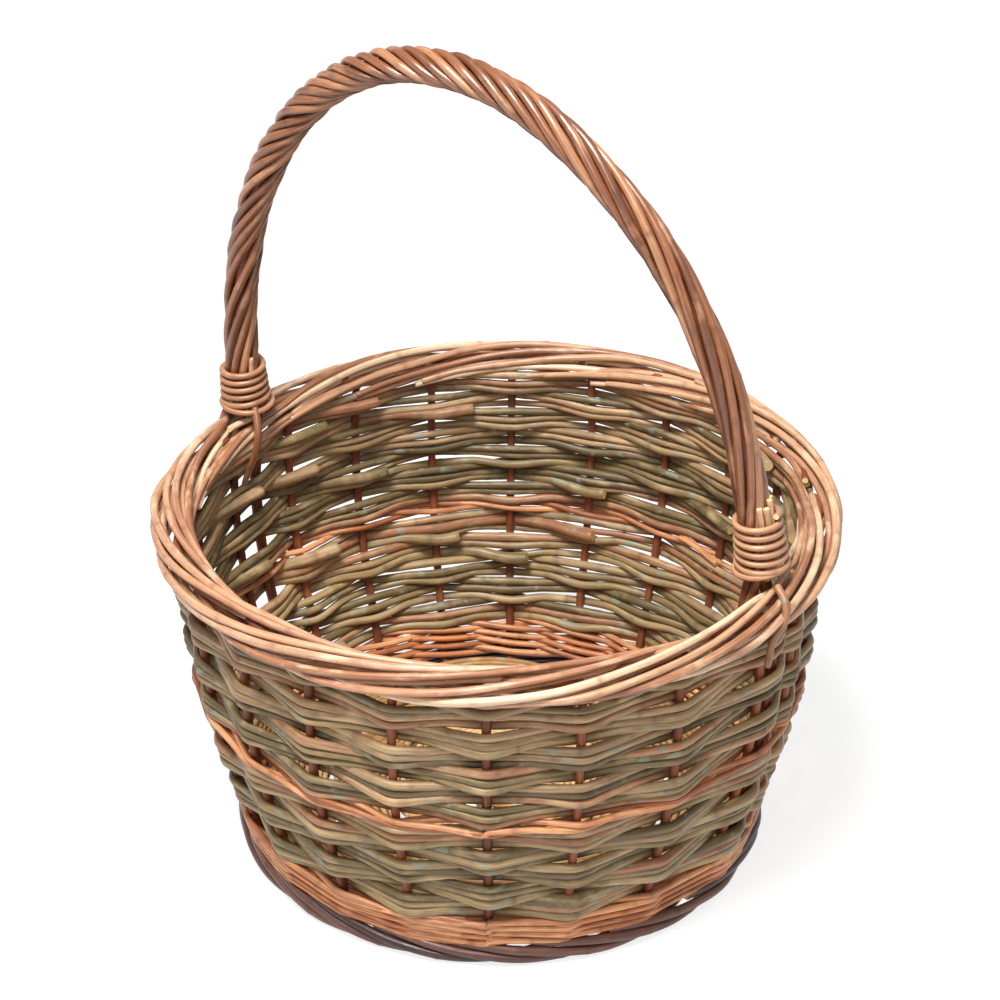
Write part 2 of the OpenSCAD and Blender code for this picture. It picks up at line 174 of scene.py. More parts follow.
class Rods:
    """Round rods gathered into one mesh, with what the bark reads at every vertex.
    shape, where it isn't None, moves the points of every rod."""

    def __init__(self, name, shape=by_hand):
        self.name = name
        self.rng = dice(name)
        self.shape = shape
        self.verts, self.quads, self.caps = [], [], []
        self.grain, self.tint, self.knot, self.rim = [], [], [], []
        self.count = 0

    def add(self, path, radius, tint=None, sides=9, knots=True, rough=0.035, spacing=2.6):
        """One rod along a line. radius is one number, or the butt's and the tip's."""
        rng = self.rng
        path = resample(path, spacing)
        if self.shape:
            path = self.shape(path)
        n = len(path)
        length = (n - 1) * spacing
        along = np.linspace(0, length, n)
        ends = np.broadcast_to(np.asarray(radius, float), (2,)) if np.ndim(radius) == 0 \
            else np.asarray(radius, float)
        r = np.interp(np.linspace(0, 1, n), np.linspace(0, 1, len(ends)), ends)
        r = r * (1 + wobble(rng, length, n, 22, rough))
        knot = np.zeros(n)
        if knots:
            at = rng.uniform(5, 45)
            while at < length:
                ring = np.exp(-(((along - at) / 1.8) ** 2))
                r = r * (1 + 0.09 * ring)
                knot = np.maximum(knot, ring * rng.uniform(0.5, 1))
                at += rng.uniform(28, 70)
        tangent = unit(np.gradient(path, axis=0))
        side = np.zeros((n, 3))
        start = np.cross(tangent[0], [0.0, 0.0, 1.0])
        side[0] = unit(start if np.linalg.norm(start) > 0.1 else np.cross(tangent[0], [0, 1.0, 0]))
        for i in range(1, n):
            side[i] = side[i - 1] - tangent[i] * np.dot(side[i - 1], tangent[i])
            side[i] /= np.linalg.norm(side[i])
        up = np.cross(tangent, side)
        turn = np.arange(sides) * TAU / sides
        # The last ring at each end is a little smaller, which softens the cut edge.
        rings = np.concatenate([[0], np.arange(n), [n - 1]])
        shrink = np.ones(n + 2)
        shrink[[0, -1]] = 0.86
        shift = np.zeros(n + 2)
        shift[0], shift[-1] = -0.25, 0.25
        centre = path[rings] + tangent[rings] * shift[:, None]
        size = (r[rings] * shrink)[:, None, None]
        ring_v = centre[:, None] + size * (side[rings][:, None] * np.cos(turn)[None, :, None]
                                           + up[rings][:, None] * np.sin(turn)[None, :, None])
        m = n + 2
        base = self.count
        i, s = np.meshgrid(np.arange(m - 1), np.arange(sides), indexing="ij")
        a = base + i * sides + s
        b = base + i * sides + (s + 1) % sides
        self.quads.append(np.stack([a, b, b + sides, a + sides], -1).reshape(-1, 4))
        self.caps.append(base + np.arange(sides)[::-1])
        self.caps.append(base + (m - 1) * sides + np.arange(sides))
        self.verts.append(ring_v.reshape(-1, 3))
        offset = rng.uniform(-500, 500, 3)
        grain = np.stack(np.broadcast_arrays(
            np.cos(turn)[None, :] * 2.2 + offset[0], np.sin(turn)[None, :] * 2.2 + offset[1],
            along[rings][:, None] + offset[2]), -1)
        self.grain.append(grain.reshape(-1, 3))
        shade = rng.uniform(0, 1) if tint is None else tint
        self.tint.append(np.repeat(shade + wobble(rng, length, n, 60, 0.05)[rings], sides))
        self.knot.append(np.repeat(knot[rings], sides))
        flag = np.zeros(m * sides, int)
        flag[:sides] = 2 * len(self.rim) + 1
        flag[-sides:] = 2 * len(self.rim) + 2
        self.rim.append(flag)
        self.count += m * sides

    def piece(self, bark, nodes, slot, body="root"):
        """Makes the mesh, and puts the piece in the place of its CAD nodes."""
        verts = np.concatenate(self.verts) * METRE
        quads = np.concatenate(self.quads)
        mesh = bpy.data.meshes.new(self.name)
        mesh.vertices.add(len(verts))
        mesh.vertices.foreach_set("co", verts.astype(np.float32).ravel())
        cap_sizes = np.array([len(c) for c in self.caps])
        corners = np.concatenate([quads.ravel(), np.concatenate(self.caps)])
        sizes = np.concatenate([np.full(len(quads), 4), cap_sizes])
        starts = np.concatenate([[0], np.cumsum(sizes)[:-1]])
        mesh.loops.add(len(corners))
        mesh.loops.foreach_set("vertex_index", corners.astype(np.int32))
        mesh.polygons.add(len(sizes))
        mesh.polygons.foreach_set("loop_start", starts.astype(np.int32))
        smooth = np.ones(len(sizes), bool)
        smooth[len(quads):] = False
        mesh.polygons.foreach_set("use_smooth", smooth)
        slots = np.zeros(len(sizes), np.int32)
        slots[len(quads):] = 1
        mesh.polygons.foreach_set("material_index", slots)
        mesh.update(calc_edges=True)
        mesh.validate()
        flag = np.concatenate(self.rim)
        pairs = np.zeros(len(mesh.edges) * 2, np.int32)
        mesh.edges.foreach_get("vertices", pairs)
        pairs = flag[pairs.reshape(-1, 2)]
        sharp = mesh.attributes.new("sharp_edge", "BOOLEAN", "EDGE")
        sharp.data.foreach_set("value", (pairs[:, 0] == pairs[:, 1]) & (pairs[:, 0] > 0))
        for name, kind, field, values in (
                ("grain", "FLOAT_VECTOR", "vector", self.grain),
                ("tint", "FLOAT", "value", self.tint),
                ("knot", "FLOAT", "value", self.knot)):
            data = mesh.attributes.new(name, kind, "POINT").data
            data.foreach_set(field, np.concatenate(values).astype(np.float32).ravel())
        mesh.materials.append(bark)
        mesh.materials.append(CUT_WOOD)
        obj = bpy.data.objects.new(self.name, mesh)
        bpy.context.scene.collection.objects.link(obj)
        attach(obj, body)
        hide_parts(*nodes)
        return obj


# ---------------------------------------------------------------- materials

def linear(*srgb):
    """A colour picked as 0 to 255, in the linear values that the shaders use."""
    return tuple(((c / 255 + 0.055) / 1.055) ** 2.4 if c > 10 else c / 255 / 12.92
                 for c in srgb) + (1.0,)


class Tree:
    """A short way to write a node tree."""

    def __init__(self, name):
        self.material = bpy.data.materials.new(name)
        self.material.use_nodes = True
        self.nodes = self.material.node_tree.nodes
        self.links = self.material.node_tree.links
        self.shader = self.nodes["Principled BSDF"]

    def add(self, kind, values=None, **settings):
        node = self.nodes.new(kind)
        for key, value in settings.items():
            setattr(node, key, value)
        for key, value in (values or {}).items():
            self.put(value, node.inputs[key])
        return node

    def put(self, value, socket):
        if isinstance(value, bpy.types.NodeSocket):
            self.links.new(value, socket)
        else:
            socket.default_value = value

    def math(self, operation, a, b=0.0, clamp=False):
        return self.add("ShaderNodeMath", {0: a, 1: b}, operation=operation,
                        use_clamp=clamp).outputs[0]

    def mix(self, factor, a, b, blend="MIX"):
        node = self.add("ShaderNodeMix", data_type="RGBA", blend_type=blend)
        self.put(factor, node.inputs[0])
        self.put(a, node.inputs[6])
        self.put(b, node.inputs[7])
        return node.outputs[2]

    def attribute(self, name):
        return self.add("ShaderNodeAttribute", attribute_name=name)

    def noise(self, vector, scale, detail=3.0, rough=0.55):
        return self.add("ShaderNodeTexNoise", {"Vector": vector, "Scale": scale, "Detail": detail,
                                               "Roughness": rough}).outputs[0]

    def ramp(self, factor, stops):
        node = self.add("ShaderNodeValToRGB", {0: factor})
        elements = node.color_ramp.elements
        while len(elements) < len(stops):
            elements.new(0.5)
        for element, (place, colour) in zip(elements, stops):
            element.position = place
            element.color = colour
        return node.outputs[0]

    def span(self, value, low, high, out_low=0.0, out_high=1.0):
        return self.add("ShaderNodeMapRange", {0: value, 1: low, 2: high, 3: out_low,
                                               4: out_high}).outputs[0]


def stretched(tree, grain, along):
    """The rod's own coordinates, with its length squeezed so that marks run along it."""
    return tree.add("ShaderNodeVectorMath", {0: grain, 1: (1.0, 1.0, along)},
                    operation="MULTIPLY").outputs[0]


def bark(name, stops, streak, blotch, knot_colour, rough=(0.42, 0.7), spots=None, gloss=0.5):
    """Willow bark. stops are the rods' colours from one rod to the next; streak and blotch are
    the colours of the fine lines along a rod and of its larger patches."""
    t = Tree(name)
    grain = t.attribute("grain").outputs["Vector"]
    tint = t.attribute("tint").outputs["Fac"]
    knot = t.attribute("knot").outputs["Fac"]
    fine = t.noise(stretched(t, grain, 0.06), 1.9, 4.0, 0.6)
    lines = t.noise(stretched(t, grain, 0.02), 0.9, 2.0, 0.5)
    patch = t.noise(stretched(t, grain, 0.35), 0.11, 3.0, 0.6)
    place = t.math("ADD", tint, t.math("MULTIPLY", t.math("SUBTRACT", patch, 0.5), 0.55))
    colour = t.ramp(place, stops)
    colour = t.mix(t.span(fine, 0.50, 0.72, 0.0, 0.55), colour, streak)
    colour = t.mix(t.span(patch, 0.54, 0.72, 0.0, 0.6), colour, blotch)
    light = t.span(lines, 0.3, 0.7, 0.74, 1.28)
    shade = t.add("ShaderNodeCombineColor", {0: light, 1: light, 2: light}).outputs[0]
    colour = t.mix(1.0, colour, shade, "MULTIPLY")
    if spots:
        speck = t.noise(stretched(t, grain, 0.7), 0.16, 2.0, 0.4)
        colour = t.mix(t.span(speck, 0.63, 0.69, 0.0, 0.7), colour, spots)
    colour = t.mix(t.math("MULTIPLY", knot, 0.55), colour, knot_colour)
    t.put(colour, t.shader.inputs["Base Color"])
    t.put(t.span(fine, 0.3, 0.7, *rough), t.shader.inputs["Roughness"])
    t.shader.inputs["Specular IOR Level"].default_value = gloss
    height = t.math("ADD", t.math("MULTIPLY", fine, 0.6), t.math("MULTIPLY", lines, 0.6))
    relief = t.add("ShaderNodeBump", {"Strength": 0.35, "Distance": 0.0004, "Height": height})
    t.put(relief.outputs[0], t.shader.inputs["Normal"])
    return t.material


def cut_wood():
    """The pale pith and wood of a cut end."""
    t = Tree("cut_willow")
    grain = t.attribute("grain").outputs["Vector"]
    speck = t.noise(grain, 2.5, 3.0, 0.6)
    t.put(t.ramp(speck, [(0.3, linear(196, 150, 84)), (0.5, linear(232, 200, 136)),
                         (0.7, linear(246, 226, 176))]), t.shader.inputs["Base Color"])
    t.put(t.span(speck, 0.3, 0.7, 0.6, 0.85), t.shader.inputs["Roughness"])
    return t.material


CUT_WOOD = cut_wood()
WEAVE_BARK = bark(
    "weave_willow",
    [(0.05, linear(98, 82, 52)), (0.25, linear(134, 112, 74)), (0.45, linear(160, 134, 94)),
     (0.62, linear(142, 114, 82)), (0.78, linear(178, 146, 108)), (0.95, linear(150, 102, 70))],
    streak=linear(86, 64, 42), blotch=linear(186, 160, 120), knot_colour=linear(78, 58, 40),
    spots=linear(126, 138, 120), rough=(0.36, 0.62))
STAKE_BARK = bark(
    "dark_willow",
    [(0.1, linear(98, 48, 26)), (0.5, linear(122, 62, 34)), (0.9, linear(142, 78, 44))],
    streak=linear(70, 34, 20), blotch=linear(148, 88, 52), knot_colour=linear(60, 32, 20))
WALE_BARK = bark(
    "wale_willow",
    [(0.1, linear(150, 88, 52)), (0.4, linear(194, 122, 74)), (0.7, linear(160, 100, 66)),
     (0.95, linear(216, 154, 106))],
    streak=linear(112, 62, 38), blotch=linear(220, 164, 116), knot_colour=linear(102, 58, 36),
    rough=(0.34, 0.6))
# The palest stop, (216, 184, 152) at 0.95, is a painted highlight: pale buff put into the rods'
# colour to stand for the gloss on the border's rods. The other stops are the willow's own colour.
BORDER_BARK = bark(
    "border_willow",
    [(0.1, linear(146, 98, 70)), (0.35, linear(190, 148, 114)), (0.65, linear(166, 116, 88)),
     (0.95, linear(216, 184, 152))],
    streak=linear(126, 76, 50), blotch=linear(224, 192, 160), knot_colour=linear(120, 76, 50),
    rough=(0.28, 0.5))
COLLAR_BARK = bark(
    "collar_willow",
    [(0.1, linear(124, 78, 52)), (0.5, linear(156, 108, 76)), (0.9, linear(180, 134, 100))],
    streak=linear(104, 62, 40), blotch=linear(194, 150, 114), knot_colour=linear(98, 60, 40),
    rough=(0.28, 0.5))
HANDLE_BARK = bark(
    "handle_willow",
    [(0.1, linear(98, 56, 34)), (0.45, linear(132, 82, 52)), (0.75, linear(114, 66, 41)),
     (0.95, linear(160, 110, 76))],
    streak=linear(78, 43, 27), blotch=linear(186, 138, 102), knot_colour=linear(74, 43, 28),
    rough=(0.2, 0.4), gloss=0.85)
FOOT_BARK = bark(
    "foot_willow",
    [(0.1, linear(58, 36, 33)), (0.5, linear(78, 49, 42)), (0.9, linear(106, 70, 57))],
    streak=linear(44, 28, 27), blotch=linear(120, 84, 70), knot_colour=linear(42, 28, 26),
    rough=(0.3, 0.55))
BASE_BARK = bark(
    "base_willow",
    [(0.1, linear(150, 108, 62)), (0.5, linear(184, 136, 84)), (0.9, linear(206, 162, 112))],
    streak=linear(116, 82, 48), blotch=linear(212, 174, 126), knot_colour=linear(96, 66, 40),
    spots=linear(150, 146, 112))
# ---------------------------------------------------------------- the lines that rods follow

def posts():
    """(place, angle, half thickness) of each upright that the weave passes round, counted in
    stakes, with the handle's legs between their neighbours."""
    found = [(float(k), stake_angle(k), STAKE_R) for k in range(STAKE_COUNT)]
    found.append((RIGHT_FOOT_STAKE + 0.25, 0.0, LEG_HALF))
    found.append((LEFT_FOOT_STAKE - 0.35, 180.0, LEG_HALF))
    return sorted(found)


POSTS = posts()
POST_SIDE = [RIGHT_FOOT_STAKE if p == RIGHT_FOOT_STAKE + 0.25
             else LEFT_FOOT_STAKE if p == LEFT_FOOT_STAKE - 0.35 else int(p)
             for p, a, h in POSTS]


# Points along a weaving rod from one stake to the next
PER_GAP = 24


class Ring:
    """A closed line round the wall that passes outside or inside each upright."""

    def __init__(self, z, outside, reach_out, reach_in, soften=3.2):
        r0 = float(stake_circle(z))
        self.places, xy = [], []
        for (place, angle, half), k in zip(POSTS, POST_SIDE):
            extra = half - STAKE_R
            off = (reach_out + extra) if outside[k] else -(reach_in + extra)
            self.places.append(place)
            xy.append((r0 + off) * np.array([math.cos(math.radians(angle)),
                                             math.sin(math.radians(angle))]))
        xy = np.array(xy + xy[:1])
        places = np.array(self.places + [self.places[0] + STAKE_COUNT])
        self.u = np.arange(STAKE_COUNT * PER_GAP) / PER_GAP + places[0]
        line = np.stack([np.interp(self.u, places, xy[:, i]) for i in (0, 1)], -1)
        spacing = TAU * r0 / len(self.u)
        half = int(3 * soften / spacing) + 1
        kernel = np.exp(-0.5 * (np.arange(-half, half + 1) * spacing / soften) ** 2)
        kernel /= kernel.sum()
        padded = np.concatenate([line[-half:], line, line[:half]])
        self.line = np.stack([np.convolve(padded[:, i], kernel, "valid") for i in (0, 1)], -1)

    def at(self, u):
        """(x, y) at places u, counted in stakes, which may run past a whole turn."""
        first = self.u[0]
        wrapped = (np.asarray(u, float) - first) % STAKE_COUNT + first
        us = np.append(self.u, first + STAKE_COUNT)
        line = np.concatenate([self.line, self.line[:1]])
        return np.stack([np.interp(wrapped, us, line[:, i]) for i in (0, 1)], -1)


def radial_shift(xy, amount):
    return xy + unit(xy) * np.asarray(amount)[:, None]


# ---------------------------------------------------------------- weaving

# How far a rod dips where it passes outside a stake
WAVE = 1.3


def wave(u, outside, depth):
    """Rods dip at every upright: in a V where they pass outside, hardly at all inside."""
    u = np.asarray(u, float)
    near = np.round(u)
    away = np.abs(u - near)
    is_out = np.array(outside)[near.astype(int) % STAKE_COUNT]
    sharp = np.sqrt((2 * away) ** 2 + 0.02) - 0.1
    soft = 0.75 - 0.25 * np.cos(TAU * away)
    return depth * (np.where(is_out, sharp, soft) - 0.5)


# The room that the CAD model leaves between two courses
COURSE_GAP = 0.2


def slew_course(name, number, extra=()):
    """Three rods side by side, each made of one or two lengths whose ends lie inside."""
    low, high = box_mm(name)
    z = (low[2] + high[2]) / 2
    pitch = (high[2] - low[2] + COURSE_GAP) / 3
    rod_r = pitch * 0.595
    rods = Rods(name + "_rods")
    rng = rods.rng
    outside = [(k + number) % 2 == 0 for k in range(STAKE_COUNT)]
    inner = [k for k in range(STAKE_COUNT) if not outside[k]]
    depth = WAVE * min(1.0, 0.1 + 0.35 * number)
    for lane in (-1, 0, 1):
        lane_z = z + lane * pitch
        slack = rng.uniform(-0.4, 0.3)
        ring = Ring(lane_z, outside, STAKE_R + rod_r + slack, STAKE_R + rod_r - 0.5)
        joins = 2 if rng.uniform() < 0.35 else 1
        breaks = sorted(rng.choice(inner, joins, replace=False))
        for start, end in zip(breaks, breaks[1:] + [breaks[0] + STAKE_COUNT]):
            u = np.linspace(start - rng.uniform(0.15, 0.5), end + rng.uniform(0.1, 0.4),
                            int((end - start + 1) * PER_GAP))
            length = (u[-1] - u[0]) * STAKE_GAP
            # The three rods spread where they pass an upright, and close up where they cross.
            near = np.cos(math.pi * (u - np.round(u))) ** 2
            fan = 0.97 + 0.31 * near
            zs = z + lane * pitch * fan + wave(u, outside, depth)
            zs = zs + wobble(rng, length, len(u), 40, 0.45)
            # The butt lies inside the wall, over the tip of the length before it.
            butt = np.clip(1 - (u - u[0]) / 0.9, 0, 1) ** 1.3
            shift = stake_circle(zs) - stake_circle(lane_z) - 5.4 * butt
            shift = shift + wobble(rng, length, len(u), 45, 0.25)
            xy = radial_shift(ring.at(u), shift)
            thick = [1.42, 1.2, 1.08, 1.02, 1.0, 0.98, 0.95, 0.92, 0.9, 0.66]
            rods.add(np.column_stack([xy, zs]), rod_r * np.array(thick) * rng.uniform(0.95, 1.04))
    for path, radius in extra:
        rods.add(spline(path), radius)
    rods.piece(WEAVE_BARK, [name], "weave_willow")


def wale_round(name, rod_r, lift, phase, depth=0.0):
    """Three rods that pass outside two stakes and inside one, each a stake ahead of the last."""
    low, high = box_mm(name)
    z = (low[2] + high[2]) / 2
    rods = Rods(name + "_rods")
    rng = rods.rng
    for j in range(3):
        outside = [(k + j + phase) % 3 != 0 or k == STAKE_COUNT - 1 for k in range(STAKE_COUNT)]
        ring = Ring(z, outside, STAKE_R + rod_r + 1.0, STAKE_R + rod_r + 0.3)
        start = rng.integers(0, STAKE_COUNT) + rng.uniform(-0.3, 0.3)
        u = np.linspace(start, start + STAKE_COUNT + 0.7, STAKE_COUNT * PER_GAP)
        length = (u[-1] - u[0]) * STAKE_GAP
        # Each rod comes out high, slants down past two stakes and goes back in.
        roll = np.sin(TAU * ((u % STAKE_COUNT) + j + phase) / 3)
        zs = z + lift * roll + wave(u, outside, depth) + wobble(rng, length, len(u), 60, 0.3)
        fade = np.clip((u[-1] - u) / 0.8, 0, 1)
        shift = stake_circle(zs) - stake_circle(z) - 3.5 * (1 - fade)
        xy = radial_shift(ring.at(u), shift - 2.0 * np.clip(1 - (u - u[0]), 0, 1))
        rods.add(np.column_stack([xy, zs]), (rod_r * 1.08, rod_r * 0.92))
    rods.piece(WALE_BARK, [name], "wale_willow")


# ---------------------------------------------------------------- stakes

def side_stakes():
    rods = Rods("stake_rods")
    rng = rods.rng
    for k in range(STAKE_COUNT):
        a = stake_angle(k)
        bend = rng.uniform(-0.4, 0.4)
        points = [polar(stake_circle(z), a + bend * math.sin(z / 60), z)
                  for z in (13.5, 30, 60, 90, 120, 150, 175, 190)]
        toe = [polar(110, a, 12.0), polar(128, a, 11.0), polar(141, a, 10.3)]
        top = [polar(STAKE_TOP_R + 2.2, a - 1.0, 195.0), polar(STAKE_TOP_R + 5.0, a - 4.5, 198.5),
               polar(STAKE_TOP_R + 4.5, a - 10.0, 200.3), polar(STAKE_TOP_R + 1.0, a - 15.0, 201.0)]
        tint = rng.uniform(0.1, 0.9)
        rods.add(spline(toe + points + top), (1.9, 2.5, 2.5, 2.4, 2.1), tint=tint, sides=10)
    rods.piece(STAKE_BARK, ["side_stakes"], "dark_willow")


# ---------------------------------------------------------------- border

BORDER_ROD_R = 2.25
# Along a border rod: (stakes travelled, distance in from the rim, distance under the top)
BORDER_RUN = [(-0.7, 14.5, 17.5), (-0.2, 9.0, 17.0), (0.25, 4.4, 15.2), (0.8, 2.8, 12.4),
              (1.5, 3.8, 8.2), (2.2, 7.6, 4.4), (2.9, 12.4, 2.7), (3.6, 17.2, 2.8),
              (4.3, 21.4, 5.0), (5.0, 23.8, 8.6), (5.7, 24.8, 12.6), (6.2, 24.4, 15.6)]
LEG_CLEAR = 7.6
CUT_SHORT = (20, 0, 2, 5, 11)


def round_leg(points):
    """Moves a border rod out of the way of the handle's legs, to the side that it is nearer."""
    out = []
    for x, y, z in points:
        r = math.hypot(x, y)
        near = math.exp(-((y / 15.0) ** 2))
        foot_r = abs(HANDLE_SHIFT_X + math.copysign(HANDLE_HALF_SPAN, x))
        gap = r - foot_r
        want = LEG_CLEAR if gap > -1 else -LEG_CLEAR
        if abs(gap) < LEG_CLEAR:
            r += (want - gap) * near
        r = min(r, RIM_R - 2.6)
        a = math.atan2(y, x)
        out.append((r * math.cos(a), r * math.sin(a), z))
    return np.array(out)


def border():
    """Long rods that come out low under the rim, climb over it and end low inside it."""
    groups = [("border_outer_rods", "border_outer"), ("border_top_rods", "border_top"),
              ("border_inner_rods", "border_inner"), ("border_lower_rods", "border_lower")]
    bundles = [Rods(name) for name, node in groups]
    rng = dice("border")
    for k in range(STAKE_COUNT):
        rods = bundles[k % len(bundles)]
        stretch = rng.uniform(0.94, 1.1)
        start = stake_angle(k) + rng.uniform(-2.5, 2.5)
        # A rod that is cut short shows its pale end on top of the border.
        short = k in CUT_SHORT
        run = BORDER_RUN[:8] if short else BORDER_RUN
        points = [polar(RIM_R - inset + rng.uniform(-1.7, 0.3), start + ahead * STEP * stretch,
                        BODY_TOP - drop + rng.uniform(-1.2, 0.2)) for ahead, inset, drop in run]
        path = round_leg(spline(points, 24))
        size = BORDER_ROD_R * rng.uniform(0.9, 1.05)
        rods.add(path, (size * 1.1, size, size * 0.86), sides=10)
        # Beside each long rod, the next stake's top runs under it for a short way.
        low = [(0.3, 13.5, 13.5), (0.9, 9.5, 15.0), (1.5, 8.5, 13.0), (2.2, 11.0, 9.5),
               (3.0, 16.0, 8.0), (3.7, 21.0, 10.0), (4.2, 23.5, 14.0)]
        points = [polar(RIM_R - inset + rng.uniform(-0.6, 0.4), start + ahead * STEP * stretch,
                        BODY_TOP - drop + rng.uniform(-0.5, 0.4)) for ahead, inset, drop in low]
        bundles[(k + 2) % len(bundles)].add(round_leg(spline(points, 20)),
                                            (size * 0.95, size * 0.8), sides=9)
        # Inside, the tips fill the corner between the border and the last course.
        inner = [(0.1, 17.0, 12.0), (0.7, 19.5, 10.5), (1.4, 22.5, 10.8), (2.1, 24.0, 13.4),
                 (2.7, 24.6, 16.4), (3.1, 24.6, 18.6)]
        points = [polar(RIM_R - inset + rng.uniform(-0.6, 0.6), start + ahead * STEP * stretch,
                        BODY_TOP - drop + rng.uniform(-0.8, 0.5)) for ahead, inset, drop in inner]
        bundles[(k + 1) % len(bundles)].add(round_leg(spline(points, 20)),
                                            (size * 0.9, size * 0.75), sides=9)
    for rods, (name, node) in zip(bundles, groups):
        rods.piece(BORDER_BARK, [node], "border_willow")


# ---------------------------------------------------------------- foot and base

# Along a rod of the foot: (stakes travelled, distance in from the foot's edge, height)
FOOT_RUN = [(-0.5, 5.8, 13.2), (-0.1, 4.0, 12.6), (0.35, 2.9, 10.4), (0.9, 2.8, 7.2),
            (1.5, 3.4, 4.4), (2.1, 6.4, 3.2), (2.6, 11.0, 3.6), (3.0, 15.0, 5.0)]


def foot():
    rods = Rods("foot_rods")
    rng = rods.rng
    for k in range(STAKE_COUNT):
        start = stake_angle(k) + rng.uniform(-2, 2)
        points = [polar(FOOT_R - inset + rng.uniform(-0.4, 0.3), start + ahead * STEP, z)
                  for ahead, inset, z in FOOT_RUN]
        rods.add(spline(points, 20), (2.75, 2.65), sides=10)
    rods.piece(FOOT_BARK, ["foot_wale"], "foot_willow")


ARM_COUNT = STAKE_COUNT // 2
ARM_END_R = 137.0
SLATH_HALF = 24.0
BASE_CROWN = 7.0
STICK_R = 3.0
SLATH_TURN = FIRST_STAKE + (RIGHT_FOOT_STAKE + 1) * STEP


def base_z(r):
    return STAKE_FOOT_Z + BASE_CROWN * (1 - np.asarray(r) / ARM_END_R)


def arm_angle(j):
    return FIRST_STAKE + (RIGHT_FOOT_STAKE + 2 * j + 0.5) * STEP


def arm_end(j):
    return polar(ARM_END_R, arm_angle(j), float(base_z(ARM_END_R)))


def slath_point(along, across, turn):
    a = math.radians(SLATH_TURN + turn)
    return np.array([along * math.cos(a) - across * math.sin(a),
                     along * math.sin(a) + across * math.cos(a), float(base_z(SLATH_HALF))])


def base_sticks():
    upper = Rods("base_upper_rods")
    for i in (-1, 0, 1):
        y = i * 7.0
        upper.add(spline([arm_end(i), slath_point(SLATH_HALF + 6, y * 1.15, 0),
                          slath_point(SLATH_HALF - 6, y, 0), slath_point(6 - SLATH_HALF, y, 0),
                          slath_point(-SLATH_HALF - 6, y * 1.15, 0), arm_end(6 - i)]),
                  (2.9, 3.0, 2.9), sides=10)
    upper.piece(BASE_BARK, ["base_sticks_upper"], "base_willow")
    lower = Rods("base_lower_rods")
    half = Rods("base_half_rod")
    for i in (-1, 0, 1):
        y = i * 10.4
        rods = half if i == 0 else lower
        # A split stick opens into two halves, one over and one under the sticks it holds.
        for side in (-1, 1):
            bulge = np.array([0, 0, 4.3 * side])
            apart = np.array([0, 0, 0.9 * side])
            line = [arm_end(3 + i) + apart, slath_point(SLATH_HALF + 8, y * 1.2, 90) + apart,
                    slath_point(14, y, 90) + bulge, slath_point(-14, y, 90) + bulge]
            if i:
                line += [slath_point(-SLATH_HALF - 8, y * 1.2, 90) + apart,
                         arm_end(8 + (1 - i) // 2) + apart]
            else:
                line += [slath_point(-SLATH_HALF - 3, y, 90) + apart]
            rods.add(spline(line), 2.1, sides=9, tint=0.4 + 0.2 * i)
    lower.piece(BASE_BARK, ["base_sticks_lower"], "base_willow")
    half.piece(BASE_BARK, ["base_half_stick"], "base_willow")


def base_tie():
    rods = Rods("base_tie_rods")
    for side in (-1, 1):
        a = np.linspace(0, 720 + 40, 220)
        r = 26.5 + 3.2 * a / 720
        swing = np.sign(np.cos(np.radians(2 * (a - SLATH_TURN)))) * side
        swing = np.convolve(np.pad(swing, 4, "edge"), np.ones(9) / 9, "valid")
        rods.add(polar(r, a, base_z(r) + 4.9 * swing), (1.9, 1.7))
    rods.piece(BASE_BARK, ["base_tie"], "base_willow")


def base_weave(name, r0, r1):
    """Pairing: two rods that cross over each other between the arms, spiralling outwards."""
    rods = Rods(name + "_rods")
    rng = rods.rng
    pitch = 4.3
    turns = (r1 - r0) / pitch
    for side in (-1, 1):
        a = np.arange(0, 360 * turns, 2.2)
        r = r0 + 1.8 + (r1 - r0 - 3.6) * a / a[-1]
        place = (a - arm_angle(0)) / (360 / ARM_COUNT)
        swing = np.cos(math.pi * place) * side
        swing = np.sign(swing) * np.abs(swing) ** 0.75
        thick = 1.75
        z = base_z(r) + (STICK_R + thick - 1.1) * swing + wobble(rng, 3000, len(a), 30, 0.15)
        rods.add(polar(r + wobble(rng, 3000, len(a), 40, 0.2), a, z), thick, sides=8, spacing=3.2)
    rods.piece(BASE_BARK, [name], "base_willow")


# ---------------------------------------------------------------- handle

def signed_pow(v, e):
    return np.sign(v) * np.abs(v) ** e


def bow_point(a):
    """Middle of the bow: a is 0 at the left foot, 90 at the top and 180 at the right foot."""
    a = np.radians(np.asarray(a, float))
    e = 2 / HANDLE_FULLNESS
    rise = HANDLE_RISE * np.abs(np.sin(a)) ** e
    rise = rise - HANDLE_SHOULDER * np.exp(-(((np.degrees(a) - 120) / 19) ** 2))
    across = HANDLE_SHIFT_X - HANDLE_HALF_SPAN * signed_pow(np.cos(a), e)
    return np.stack([across + HANDLE_LEAN_X * rise,
                     HANDLE_LEAN_Y * rise, BODY_TOP + rise], -1)


def bow_frame(a):
    """The bow's direction, its outward side and its side towards the front."""
    a = np.asarray(a, float)
    tangent = unit(bow_point(np.clip(a + 0.5, 0.5, 180)) - bow_point(np.clip(a - 0.5, 0, 179.5)))
    outward = unit(-np.cross([0, 1.0, 0], tangent))
    return tangent, outward, np.cross(tangent, outward)


def rope_angle(a):
    u = np.asarray(a, float) / 180
    swell = (0.4 * (1 - np.cos(TAU * u)) - 0.3 * np.sin(TAU * u)) / TAU
    return 360 * ROPE_TURNS * (u + swell)


def spiral(a, r, turn):
    """A point at a distance r from the bow's middle, turned round it from its outward side."""
    outward, front = bow_frame(a)[1:]
    turn = np.radians(turn)[..., None]
    return bow_point(a) + np.asarray(r)[..., None] * (outward * np.cos(turn)
                                                      + front * np.sin(turn))


